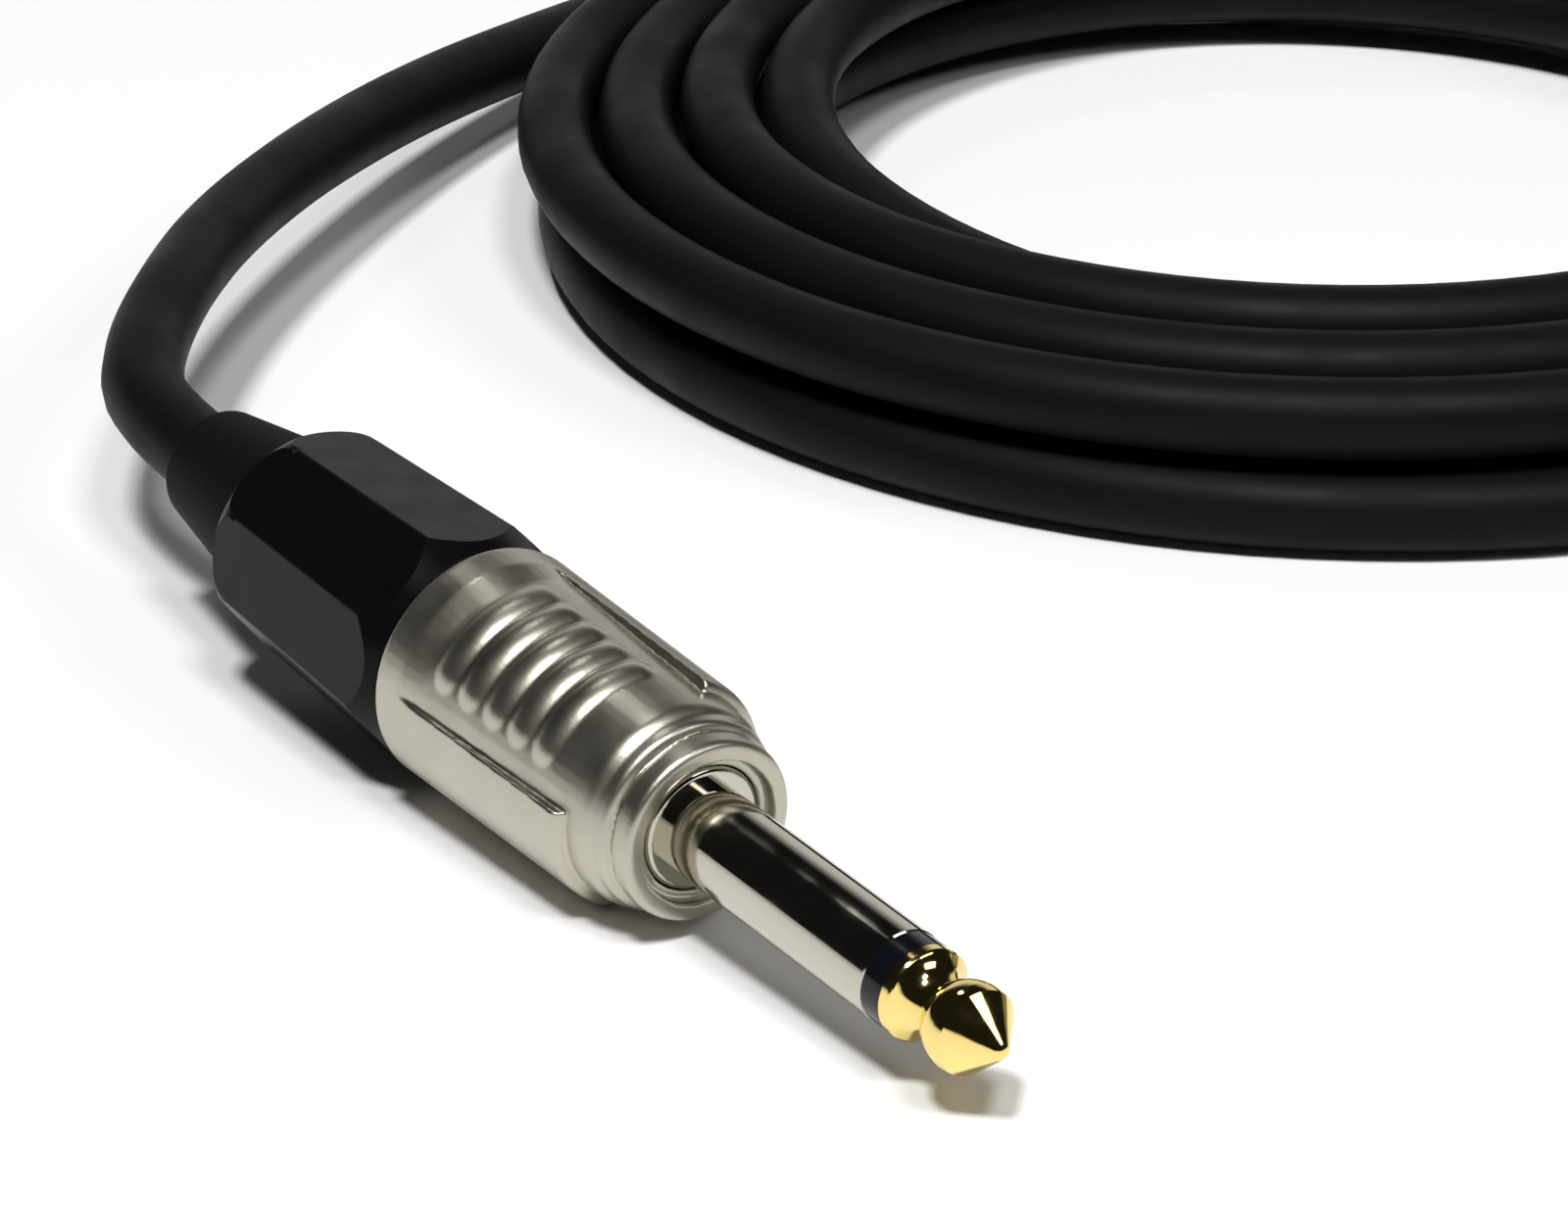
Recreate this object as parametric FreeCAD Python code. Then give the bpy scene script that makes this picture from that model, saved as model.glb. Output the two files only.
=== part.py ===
import FreeCAD, Part
import math
import os

# An instrument cable with a straight quarter-inch plug at each end, lying on a table.
# Millimetres, +Z up, the table at z = 0. The front plug points along +X and its own box is
# centred on the origin. Each plug is modelled in a frame of its own: +X towards the tip,
# x = 0 at the front face of the shell, where the sleeve comes out, and +Z through the middle
# of the ridged panel.

# The finger that goes into a socket
finger_radius = 3.175
sleeve_length = 20.3
ring_width = 1.8
tip_length = 8.4
tip_rim_width = 0.65
tip_neck_radius = 1.9
tip_neck_at = 2.5
tip_head_radius = 2.97
tip_head_at = 4.9
tip_cone_start = 0.75
tip_point_radius = 0.8
edge_break = 0.15

# Stack inside the shell, measured along the axis
nose_wall = 3.2
collar_radius = 4.3
collar_set_back = 0.6
flange_radius = 5.25
flange_thickness = 2.0
boss_radius = 3.6
boss_length = 3.4
tube_radius = 2.3
rod_radius = 1.3
lug_sheet = 0.6
ground_lug_radius = 4.5
rear_washer_radius = 3.85
rear_washer_thickness = 1.2
tip_lug_radius = 2.95
rivet_radius = 1.9
rivet_height = 0.8
lug_strap_width = 2.8
tang_set_back = 0.4
tang_length = 4.2
terminal_length = 4.4
collar_round = 0.45
lug_ramp_lead = 0.5
lug_ramp_length = 1.6
crimp_gap_half_angle = 24.0

# Shell, a die casting with two ridged panels between two smooth side bands
nose_edge_round = 0.5
nose_rim_radius = 6.3
nose_rim_length = 1.7
nose_recess = 0.75
nose_recess_radius = 5.0
second_ring_radius = 6.75
second_ring_length = 1.1
groove_depth = 0.35
groove_width = 0.35
shoulder_radius = 7.2
shoulder_at = 4.0
panel_rear_radius = 8.05
panel_end = 21.5
panel_run_out = 2.0
band_front_radius = 8.1
band_front_at = 5.5
band_front_round = 0.7
shell_rear_radius = 8.45
rear_edge_break = 0.4
shell_length = 26.3
panel_half_angle = 54.0
ridge_count = 5
ridge_pitch = 2.68
first_ridge_at = 9.1
ridge_width = 2.4
ridge_height = 0.32
ridge_half_angle = 29.5
bore_radius = 5.4
thread_radius = 6.55
thread_depth = 0.3
thread_length = 10.7
stub_chamfer = 0.4
key_width = 1.4
key_depth = 0.9
key_root_depth = 0.6
key_from_stub_end = 1.0

# Gland: liner, chuck, cap and rubber bend relief
liner_wall = 0.4
liner_rear_gap = 0.3
chuck_clear = 2.7
chuck_rear_radius = 4.3
chuck_cone_length = 5.0
chuck_slit_length = 12.0
chuck_slit_width = 0.9
chuck_key_length = 5.0
cap_gap = 0.3
cap_length = 22.7
cap_sides = 8
cap_step = 0.5
cap_taper = 0.9
cap_rim_set_in = 0.65
cap_chamfer_length = 2.9
cap_rear_round = 3.4
cap_rear_drop = 2.9
cap_edge_round = 0.5
cap_rear_wall = 4.5
cap_clocking = -13.0
relief_front_radius = 5.9
relief_rear_radius = 4.3
relief_length = 10.9
relief_neck_radius = 3.9
relief_lip = 1.0
relief_edge_round = 0.5
screw_pitch = 1.25
screw_turns = 4

# Cable, from the outside in
cable_diameter = 6.0
shield_radius = 2.25
conductive_radius = 1.75
dielectric_radius = 1.5
core_radius = 0.5
jacket_starts = 21.0
shield_starts = 19.5
conductive_starts = 18.2
dielectric_starts = 16.6
core_starts = 12.0
pigtail_radius = 0.55
pigtail_length = 3.4
tip_solder_radius = 1.15
tip_solder_set_back = 1.7
wire_lift = 0.1

# Named clearances
slide_gap = 0.12
turn_gap = 0.2
seat_gap = 0.05

# How the plugs lie: rolled about their axes, resting on the first ridge, with the stiff
# cable holding the cap a little off the table
plug_roll = 28.0
far_plug_roll = -14.0
cable_lift = 0.443
far_exit = (28.4, 118.0)
far_heading = -62.0

# The coil: turns wind in on the table, climb a layer and wind out again
coil_centre = (-54.6, 109.5)
coil_outer_radius = 65.2
coil_pitch_in = 6.8
coil_pitch_out = 6.6
coil_turns_in = 3.25
coil_turns_climb = 0.5
coil_turns_out = 3.389
coil_start_angle = 110.0
coil_layer_step = 6.6
coil_dish = 2.2
coil_shift = (0.4, -0.5)

# The free stretch's route, from the front plug to the coil, as points chosen by eye.
# The first two lie on the plug's axis and the last two on the coil's start tangent.
exit_run = 10.0
free_points = [
    (-64.0, 4.3, 11.7),
    (-73.7, 12.2, 11.6),
    (-84.3, 23.3, 10.9),
    (-95.6, 38.6, 9.6),
    (-106.9, 56.0, 7.6),
    (-116.0, 74.0, 5.4),
    (-122.6, 91.5, 3.8),
    (-125.6, 108.0, 3.1),
    (-124.8, 124.0, 3.0),
    (-118.9, 139.5, 3.0),
    (-108.6, 152.0, 3.0),
]
merge_run = 11.0

# The tail's route, from the coil to the far plug
tail_points = [
    (3.0, 149.9, 10.4),
    (14.1, 139.3, 11.1),
]
leave_run = 8.0

V = FreeCAD.Vector
ORIGIN = V(0, 0, 0)
AXIS = V(1, 0, 0)
cable_radius = cable_diameter / 2.0

# Stations along a plug's axis that several pieces share, negative towards the rear
flange_rear = -(nose_wall + flange_thickness)
boss_rear = flange_rear - boss_length
washer_rear = boss_rear - rear_washer_thickness
terminal_face = washer_rear - lug_sheet
rivet_rear = terminal_face - rivet_height
stub_rear = -(shell_length + thread_length)
stub_radius = thread_radius - thread_depth
cap_front = -(shell_length + cap_gap)
cap_corner_radius = shell_rear_radius + cap_step
cap_rear_corner_radius = cap_corner_radius - cap_taper
cap_rim_radius = shell_rear_radius - cap_rim_set_in
cap_rear = cap_front - cap_length
chamfer_end = cap_front - cap_chamfer_length
exit_at = cap_rear - relief_length
chuck_rear = cap_rear + cap_rear_wall + turn_gap
chuck_front = -(jacket_starts + tang_set_back + tang_length + chuck_clear)
liner_rear = chuck_front + liner_rear_gap
liner_inner = bore_radius - slide_gap / 2.0 - liner_wall
chuck_radius = bore_radius - slide_gap
chuck_bore = cable_radius + slide_gap
cap_bore = thread_radius + turn_gap
lip_radius = chuck_rear_radius + turn_gap
strap_top = lug_sheet - math.sqrt((liner_inner - 2 * slide_gap) ** 2 - (lug_strap_width / 2.0) ** 2)
tag_top = -(core_radius + wire_lift)
screw_travel = screw_turns * screw_pitch


def turned(outline):
    """A solid of revolution about the plug's axis. A point is (x, r), or (x, r, via_x, via_r)
    where an arc runs to it."""
    edges = []
    here = V(outline[0][0], outline[0][1], 0)
    first = here
    for step in outline[1:]:
        there = V(step[0], step[1], 0)
        if len(step) == 4:
            edges.append(Part.Arc(here, V(step[2], step[3], 0), there).toShape())
        else:
            edges.append(Part.LineSegment(here, there).toShape())
        here = there
    if here.distanceToPoint(first) > 1e-6:
        edges.append(Part.LineSegment(here, first).toShape())
    face = Part.Face(Part.Wire(edges))
    return face.revolve(ORIGIN, AXIS, 360)


def rod(x0, x1, radius):
    return Part.makeCylinder(radius, abs(x1 - x0), V(min(x0, x1), 0, 0), AXIS)


def tube(x0, x1, outer, inner):
    return rod(x0, x1, outer).cut(rod(x0, x1, inner))


def block(x0, x1, y0, y1, z0, z1):
    corner = V(min(x0, x1), min(y0, y1), min(z0, z1))
    return Part.makeBox(abs(x1 - x0), abs(y1 - y0), abs(z1 - z0), corner)


def sector(x0, x1, radius, half_angle, middle):
    """A wedge about the axis, middle degrees round from +Z towards -Y."""
    wedge = Part.makeCylinder(radius, x1 - x0, V(x0, 0, 0), AXIS, 2 * half_angle)
    now = wedge.CenterOfMass
    wedge.rotate(ORIGIN, AXIS, middle - math.degrees(math.atan2(-now.y, now.z)))
    return wedge


# Finger

def make_tip():
    """Gold tip: a thin rim, a waist, the head with its cone, and the rod to the terminal."""
    x0 = sleeve_length + ring_width
    neck_x = x0 + tip_neck_at
    head_x = x0 + tip_head_at
    end_x = x0 + tip_length
    rim_x = x0 + tip_rim_width
    rim_radius = finger_radius - edge_break / 3.0
    waist_mid = (rim_x + 0.45 * (neck_x - rim_x), tip_neck_radius + 0.28 * (rim_radius - tip_neck_radius))
    cone_x = head_x + tip_cone_start
    cone_r = math.sqrt(tip_head_radius ** 2 - tip_cone_start ** 2)
    back_angle = math.radians(140)
    back_x = head_x + tip_head_radius * math.cos(back_angle)
    back_r = tip_head_radius * math.sin(back_angle)
    mid_angle = math.radians(112)
    back_mid = (head_x + tip_head_radius * math.cos(mid_angle), tip_head_radius * math.sin(mid_angle))
    front_angle = 0.5 * (math.radians(90) + math.atan2(cone_r, tip_cone_start))
    front_mid = (head_x + tip_head_radius * math.cos(front_angle), tip_head_radius * math.sin(front_angle))
    point_centre = end_x - tip_point_radius
    reach = math.hypot(cone_r, cone_x - point_centre)
    meet = math.atan2(cone_r, cone_x - point_centre) - math.acos(tip_point_radius / reach)
    point = []
    for angle in (meet, meet / 2):
        point.append((point_centre + tip_point_radius * math.cos(angle), tip_point_radius * math.sin(angle)))
    return turned([
        (rivet_rear, 0),
        (rivet_rear, 0.7 * rivet_radius),
        (rivet_rear + 0.3 * rivet_height, rivet_radius),
        (terminal_face, rivet_radius),
        (terminal_face, rod_radius),
        (x0, rod_radius),
        (x0, rim_radius),
        (rim_x, rim_radius),
        (rim_x + edge_break, rim_radius - edge_break),
        (neck_x, tip_neck_radius, waist_mid[0], waist_mid[1]),
        (back_x, back_r),
        (head_x, tip_head_radius, back_mid[0], back_mid[1]),
        (cone_x, cone_r, front_mid[0], front_mid[1]),
        point[0],
        (end_x, 0, point[1][0], point[1][1]),
    ])


def make_tip_insulator():
    """Black ring between the tip and the sleeve, in one with the tube that lines the sleeve."""
    ring_radius = finger_radius - edge_break / 3.0
    ring = rod(sleeve_length, sleeve_length + ring_width, ring_radius)
    lining = rod(washer_rear, sleeve_length, tube_radius)
    return ring.fuse(lining).removeSplitter().cut(rod(washer_rear, sleeve_length + ring_width, rod_radius))


def make_sleeve():
    """Nickel sleeve: the barrel, the collar that shows in the nose, the flange and the boss."""
    face_x = -collar_set_back
    soft = collar_round
    return turned([
        (boss_rear, tube_radius),
        (boss_rear, boss_radius),
        (flange_rear, boss_radius),
        (flange_rear, flange_radius),
        (-nose_wall, flange_radius),
        (-nose_wall, collar_radius),
        (face_x - soft, collar_radius),
        (face_x, collar_radius - soft, face_x - 0.3 * soft, collar_radius - 0.3 * soft),
        (face_x, finger_radius),
        (sleeve_length - edge_break, finger_radius),
        (sleeve_length, finger_radius - edge_break),
        (sleeve_length, tube_radius),
    ])


# Terminals

def make_rear_insulator():
    return tube(washer_rear, boss_rear, rear_washer_radius, tube_radius)


def strip(outline, width):
    """A bent strip of sheet: its edge-on outline in the XZ plane, drawn out across Y."""
    points = [V(x, -width / 2.0, z) for x, z in outline]
    face = Part.Face(Part.makePolygon(points + [points[0]]))
    return face.extrude(V(0, width, 0))


def make_tip_terminal():
    """Washer held by the rivet, with a tag that steps up under the core wire."""
    washer = tube(terminal_face, washer_rear, tip_lug_radius, rod_radius)
    foot = -(rivet_radius + 2 * seat_gap + lug_sheet)
    step_x = rivet_rear - 2 * seat_gap
    tag = strip([
        (washer_rear, foot),
        (step_x - lug_sheet, foot),
        (step_x - 2.5 * lug_sheet, tag_top - lug_sheet),
        (step_x - terminal_length, tag_top - lug_sheet),
        (step_x - terminal_length, tag_top),
        (step_x - 1.8 * lug_sheet, tag_top),
        (step_x - 0.2 * lug_sheet, foot + lug_sheet),
        (washer_rear, foot + lug_sheet),
    ], lug_strap_width)
    return washer.fuse(tag).removeSplitter()


def make_ground_lug():
    """Washer round the boss, a strap along the liner and the two tangs crimped on the jacket."""
    washer = tube(flange_rear - lug_sheet, flange_rear, ground_lug_radius, boss_radius + seat_gap)
    tang_front = -(jacket_starts + tang_set_back)
    tang_rear = tang_front - tang_length
    ramp_top = tang_front + lug_ramp_lead
    ramp_foot = ramp_top + lug_ramp_length
    strap = strip([
        (flange_rear, strap_top),
        (ramp_foot, strap_top),
        (ramp_top, -cable_radius),
        (tang_rear, -cable_radius),
        (tang_rear, -(cable_radius + lug_sheet)),
        (ramp_top, -(cable_radius + lug_sheet)),
        (ramp_foot, strap_top - lug_sheet),
        (flange_rear, strap_top - lug_sheet),
    ], lug_strap_width)
    crimp = tube(tang_rear, tang_front, cable_radius + lug_sheet, cable_radius)
    crimp = crimp.cut(sector(tang_rear, tang_front, 2 * cable_radius, crimp_gap_half_angle, 0.0))
    return washer.fuse([strap, crimp]).removeSplitter()


# Shell

def shell_blank():
    """The ridged panels' cone all round, with the stepped nose and the threaded stub."""
    rim_rear = -nose_rim_length
    ring_front = rim_rear - groove_width
    ring_rear = ring_front - second_ring_length
    soft = nose_edge_round
    root = nose_rim_radius - groove_depth
    return turned([
        (0, 0),
        (0, nose_rim_radius - soft),
        (-soft, nose_rim_radius, -0.3 * soft, nose_rim_radius - 0.3 * soft),
        (rim_rear, nose_rim_radius),
        (rim_rear - 0.5 * groove_width, root),
        (ring_front, second_ring_radius - soft),
        (ring_front - soft, second_ring_radius, ring_front - 0.3 * soft, second_ring_radius - 0.3 * soft),
        (ring_rear, second_ring_radius + 0.05),
        (-shoulder_at, shoulder_radius, -0.5 * (shoulder_at - ring_rear), shoulder_radius - 0.12),
        (-panel_end, panel_rear_radius),
        (-(panel_end + panel_run_out), band_radius_at(panel_end + panel_run_out)),
        (-shell_length + rear_edge_break, shell_rear_radius),
        (-shell_length, shell_rear_radius - rear_edge_break),
        (-shell_length, stub_radius),
        (stub_rear + stub_chamfer, stub_radius),
        (stub_rear, stub_radius - stub_chamfer),
        (stub_rear, 0),
    ])


def band_radius_at(back):
    share = (back - band_front_at) / (shell_length - band_front_at)
    return band_front_radius + share * (shell_rear_radius - band_front_radius)


def side_bands():
    """The two smooth bands, proud of the panels, with rounded front ends."""
    front_x = -band_front_at
    rear_x = -(panel_end + panel_run_out)
    soft = band_front_round
    band = turned([
        (front_x, 0),
        (front_x, band_front_radius - soft),
        (front_x - soft, band_front_radius, front_x - 0.3 * soft, band_front_radius - 0.3 * soft),
        (rear_x, band_radius_at(-rear_x)),
        (rear_x, 0),
    ])
    half = 90.0 - panel_half_angle
    sides = [sector(rear_x, front_x, 2 * shell_rear_radius, half, middle) for middle in (90.0, -90.0)]
    return [band.common(side) for side in sides]


def panel_radius_at(back):
    share = (back - shoulder_at) / (panel_end - shoulder_at)
    return shoulder_radius + share * (panel_rear_radius - shoulder_radius)


def half_ball(centre, radius, middle, turn):
    """The outer half of the ball that ends a ridge, turned round the axis to that end."""
    top = centre.add(V(0, 0, radius))
    bottom = centre.sub(V(0, 0, radius))
    side = centre.add(V(radius, 0, 0))
    edges = [Part.Arc(top, side, bottom).toShape(), Part.LineSegment(bottom, top).toShape()]
    ball = Part.Face(Part.Wire(edges)).revolve(centre, V(0, 0, 1), 180 if turn < 0 else -180)
    ball.rotate(ORIGIN, AXIS, middle + turn)
    return ball


def ridges():
    """Finger ridges on both panels: part rings of round section with ball ends, sunk in."""
    half_width = ridge_width / 2.0
    section = (half_width ** 2 + ridge_height ** 2) / (2 * ridge_height)
    out = []
    for index in range(ridge_count):
        back = first_ridge_at + index * ridge_pitch
        centre = V(-back, 0, panel_radius_at(back) + ridge_height - section)
        for middle in (0.0, 180.0):
            disc = Part.Face(Part.Wire(Part.makeCircle(section, centre, V(0, 1, 0))))
            disc.rotate(ORIGIN, AXIS, middle - ridge_half_angle)
            ring = disc.revolve(ORIGIN, AXIS, 2 * ridge_half_angle)
            turns = (-ridge_half_angle, ridge_half_angle)
            ends = [half_ball(centre, section, middle, turn) for turn in turns]
            out.append(ring.fuse(ends))
    return out


def make_shell():
    """Die-cast shell with its bore, the key slots in the stub and the recess in the nose."""
    body = shell_blank().fuse(side_bands() + ridges())
    bore = rod(stub_rear, -nose_wall, bore_radius)
    nose_bore = rod(-nose_wall, 0, collar_radius + seat_gap)
    recess = rod(-nose_recess, 0, nose_recess_radius)
    slot_front = chuck_front_key() + turn_gap
    half = key_width / 2.0 + turn_gap
    slots = block(stub_rear, slot_front, -2 * thread_radius, 2 * thread_radius, -half, half)
    return body.cut([bore, nose_bore, recess, slots]).removeSplitter()


# Gland

def make_liner():
    outer = bore_radius - slide_gap / 2.0
    return tube(liner_rear, flange_rear, outer, liner_inner)


def chuck_front_key():
    """Where the chuck's two keys start, just inside the stub."""
    return stub_rear + key_from_stub_end + chuck_key_length


def make_chuck():
    """Split clamp on the cable: a sleeve with a cone at the rear, slits and two keys."""
    cone_front = chuck_rear + chuck_cone_length
    body = turned([
        (chuck_front, chuck_bore),
        (chuck_front, chuck_radius),
        (cone_front, chuck_radius),
        (chuck_rear, chuck_rear_radius),
        (chuck_rear, chuck_bore),
    ])
    key_front = chuck_front_key()
    reach = bore_radius + key_depth
    half = key_width / 2.0
    keys = block(key_front - chuck_key_length, key_front, -reach, reach, -half, half)
    keys = keys.cut(rod(key_front - chuck_key_length, key_front, chuck_radius - key_root_depth))
    body = body.fuse(keys)
    slit_front = chuck_rear + chuck_slit_length
    half_slit = chuck_slit_width / 2.0
    upright = block(chuck_rear, slit_front, -half_slit, half_slit, -chuck_radius, chuck_radius)
    cross = upright.copy()
    cross.rotate(ORIGIN, AXIS, 90)
    cross = cross.common(rod(chuck_rear, key_front - chuck_key_length - key_root_depth, 2 * chuck_radius))
    return body.cut([upright, cross]).removeSplitter()


def prism(x, corner_radius):
    """An outline with the cap's flats, square to the axis."""
    points = []
    for index in range(cap_sides):
        angle = math.radians(360.0 * index / cap_sides)
        points.append(V(x, corner_radius * math.sin(angle), corner_radius * math.cos(angle)))
    return Part.makePolygon(points + [points[0]])


def cap_corner_radius_at(x):
    return cap_corner_radius - cap_taper * (cap_front - x) / cap_length


def make_cap():
    """Gland cap: tapering flats with a turned chamfer outside, thread bore and closing cone inside."""
    profiles = [prism(cap_rear, cap_rear_corner_radius), prism(cap_front, cap_corner_radius)]
    flats = Part.makeLoft(profiles, True, True)
    long_edges = [e for e in flats.Edges if abs(e.Vertexes[0].X - e.Vertexes[1].X) > 0.9 * cap_length]
    flats = flats.makeFillet(cap_edge_round, long_edges)
    far = cap_corner_radius + 1.0
    chamfer_slope = (cap_corner_radius_at(chamfer_end) - cap_rim_radius) / cap_chamfer_length
    soft = 0.25
    rear_radius = cap_rear_corner_radius - cap_rear_drop
    envelope = turned([
        (cap_front, 0),
        (cap_front, cap_rim_radius - soft),
        (cap_front - soft, cap_rim_radius + chamfer_slope * soft),
        (cap_front - (far - cap_rim_radius) / chamfer_slope, far),
        (cap_rear + cap_rear_round + 2.0, far),
        (cap_rear + cap_rear_round, cap_rear_corner_radius),
        (cap_rear, rear_radius, cap_rear + 0.27 * cap_rear_round, rear_radius + 0.73 * cap_rear_drop),
        (cap_rear, 0),
    ])
    cap = flats.common(envelope)
    cap.rotate(ORIGIN, AXIS, cap_clocking)
    thread_end = stub_rear - turn_gap
    cone_front = chuck_rear + chuck_cone_length
    inner = turned([
        (cap_front, 0),
        (cap_front, cap_bore + stub_chamfer),
        (cap_front - stub_chamfer, cap_bore),
        (thread_end, cap_bore),
        (thread_end, chuck_radius + turn_gap),
        (cone_front, chuck_radius + turn_gap),
        (chuck_rear - turn_gap, lip_radius + seat_gap),
        (chuck_rear - turn_gap - relief_lip, lip_radius + seat_gap),
        (chuck_rear - turn_gap - relief_lip, 0),
    ])
    return cap.cut([inner, rod(cap_rear, chuck_rear, relief_neck_radius + seat_gap)])


def make_bend_relief():
    """Rubber cone behind the cap, held by the lip on its neck inside the cap's rear wall."""
    inside = cap_rear + cap_rear_wall
    soft = relief_edge_round
    return turned([
        (inside, chuck_bore),
        (inside, lip_radius),
        (inside - relief_lip, lip_radius),
        (inside - relief_lip, relief_neck_radius),
        (cap_rear, relief_neck_radius),
        (cap_rear, relief_front_radius - soft),
        (cap_rear - soft, relief_front_radius, cap_rear - 0.3 * soft, relief_front_radius - 0.3 * soft),
        (exit_at + soft, relief_rear_radius),
        (exit_at, relief_rear_radius - soft, exit_at + 0.3 * soft, relief_rear_radius - 0.3 * soft),
        (exit_at, chuck_bore),
    ])


# The cable's stripped end inside a plug

def make_jacket():
    return tube(exit_at, -jacket_starts, cable_radius, shield_radius)


def make_shield():
    """Copper screen round the cable, drawn together into a tail that lies on the ground lug."""
    wrap = tube(exit_at, -shield_starts, shield_radius, conductive_radius)
    start = V(-(shield_starts + 0.6), 0, -(shield_radius - 0.2))
    end = V(-(shield_starts - pigtail_length), 0, strap_top + wire_lift + pigtail_radius)
    along = end.sub(start)
    tail = Part.makeCylinder(pigtail_radius, along.Length, start, along)
    tail = tail.cut(rod(exit_at, 0, 0.5 * (shield_radius + conductive_radius)))
    return wrap.fuse([tail, Part.makeSphere(pigtail_radius, end)]).removeSplitter()


def make_conductive_layer():
    return tube(exit_at, -conductive_starts, conductive_radius, dielectric_radius)


def make_dielectric():
    return tube(exit_at, -dielectric_starts, dielectric_radius, core_radius)


def make_core_wire():
    return rod(exit_at, -core_starts, core_radius)


def make_tip_solder(core, terminal):
    """Solder over the core wire on the terminal's tag."""
    middle = V(-(core_starts + tip_solder_set_back), 0, 0)
    drop = Part.makeSphere(tip_solder_radius, middle)
    reach = 2 * tip_solder_radius
    above = block(middle.x - reach, middle.x + reach, -reach, reach, tag_top, reach)
    return drop.common(above).cut([core, terminal])


def make_ground_solder(shield, lug):
    """Solder over the shield's tail on the ground lug."""
    middle = V(-(shield_starts - pigtail_length), 0, strap_top + 0.65 * pigtail_radius)
    drop = Part.makeSphere(2 * pigtail_radius, middle)
    reach = 3 * pigtail_radius
    above = block(middle.x - reach, middle.x + reach, -reach, reach, strap_top, strap_top + 2 * reach)
    return drop.common(above).cut([shield, lug])


def make_plug():
    """All pieces of one plug in its own frame, by name."""
    pieces = {
        "tip": make_tip(),
        "tip_insulator": make_tip_insulator(),
        "sleeve": make_sleeve(),
        "rear_insulator": make_rear_insulator(),
        "tip_terminal": make_tip_terminal(),
        "ground_lug": make_ground_lug(),
        "shell": make_shell(),
        "liner": make_liner(),
        "chuck": make_chuck(),
        "cap": make_cap(),
        "bend_relief": make_bend_relief(),
        "jacket": make_jacket(),
        "shield": make_shield(),
        "conductive_layer": make_conductive_layer(),
        "dielectric": make_dielectric(),
        "core_wire": make_core_wire(),
    }
    pieces["tip_solder"] = make_tip_solder(pieces["core_wire"], pieces["tip_terminal"])
    pieces["ground_solder"] = make_ground_solder(pieces["shield"], pieces["ground_lug"])
    return pieces


# How a plug lies on the table

def rest_tilt(roll):
    """Tip down: the plug rests on the first ridge, with the cap's lowest corner near the table."""
    step = 360.0 / cap_sides
    off = (180.0 + roll + cap_clocking) % step
    off = min(off, step - off)
    cap_low = cap_corner_radius_at(chamfer_end) * math.cos(math.radians(off))
    ridge_top = panel_radius_at(first_ridge_at) + ridge_height
    return math.degrees(math.atan2(cap_low + cable_lift - ridge_top, -chamfer_end - first_ridge_at))


def lie(shape, roll, tilt, heading):
    turned_shape = shape.copy()
    turned_shape.rotate(ORIGIN, AXIS, roll)
    turned_shape.rotate(ORIGIN, V(0, 1, 0), tilt)
    turned_shape.rotate(ORIGIN, V(0, 0, 1), heading)
    return turned_shape


def place_plug(pieces, roll, heading):
    """The pieces rolled, tilted, headed and set on the table, the point on the axis at x = 0,
    and the axis."""
    tilt = rest_tilt(roll)
    laid = {name: lie(shape, roll, tilt, heading) for name, shape in pieces.items()}
    boxes = [laid[name].optimalBoundingBox(True, False) for name in ("shell", "cap", "tip")]
    lift = -min(box.ZMin for box in boxes)
    a = math.radians(tilt)
    h = math.radians(heading)
    axis = V(math.cos(a) * math.cos(h), math.cos(a) * math.sin(h), -math.sin(a))
    return laid, V(0, 0, lift), axis


def shift(pieces, move):
    for shape in pieces.values():
        shape.translate(move)


# Cord routes

def cord_wire(points):
    """Straight runs joined by tangent arcs, and the arcs' radii."""
    points = [V(*p) for p in points]
    edges = []
    radii = []
    here = points[0]
    for before, corner, after in zip(points, points[1:], points[2:]):
        back = before.sub(corner)
        ahead = after.sub(corner)
        reach = 0.45 * min(back.Length, ahead.Length)
        turn = math.pi - back.getAngle(ahead)
        back.normalize()
        ahead.normalize()
        start = corner.add(back * reach)
        end = corner.add(ahead * reach)
        radius = reach / math.tan(turn / 2)
        inward = back.add(ahead)
        inward.normalize()
        depth = radius / math.cos(turn / 2) - radius
        middle = corner.add(inward * depth)
        edges.append(Part.LineSegment(here, start).toShape())
        edges.append(Part.Arc(start, middle, end).toShape())
        radii.append(radius)
        here = end
    edges.append(Part.LineSegment(here, points[-1]).toShape())
    return Part.Wire(edges), radii


def sweep(wire, start, direction):
    section = Part.Wire(Part.makeCircle(cable_radius, start, direction))
    return wire.makePipeShell([section], True, False)


def cord_tube(name, points):
    wire, radii = cord_wire(points)
    solid = sweep(wire, V(*points[0]), V(*points[1]).sub(V(*points[0])))
    report_cord(name, wire, solid)
    print(name, "radii", [round(r, 1) for r in radii])
    return solid, wire.Length


def report_cord(name, wire, solid):
    expected = math.pi * cable_radius ** 2 * wire.Length
    print(name, "length %.1f volume / section x length %.4f" % (wire.Length, solid.Volume / expected))


def ease(share):
    share = min(max(share, 0.0), 1.0)
    return share * share * (3 - 2 * share)


coil_turns = coil_turns_in + coil_turns_climb + coil_turns_out
coil_inner_radius = coil_outer_radius - coil_pitch_in * coil_turns_in


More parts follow.
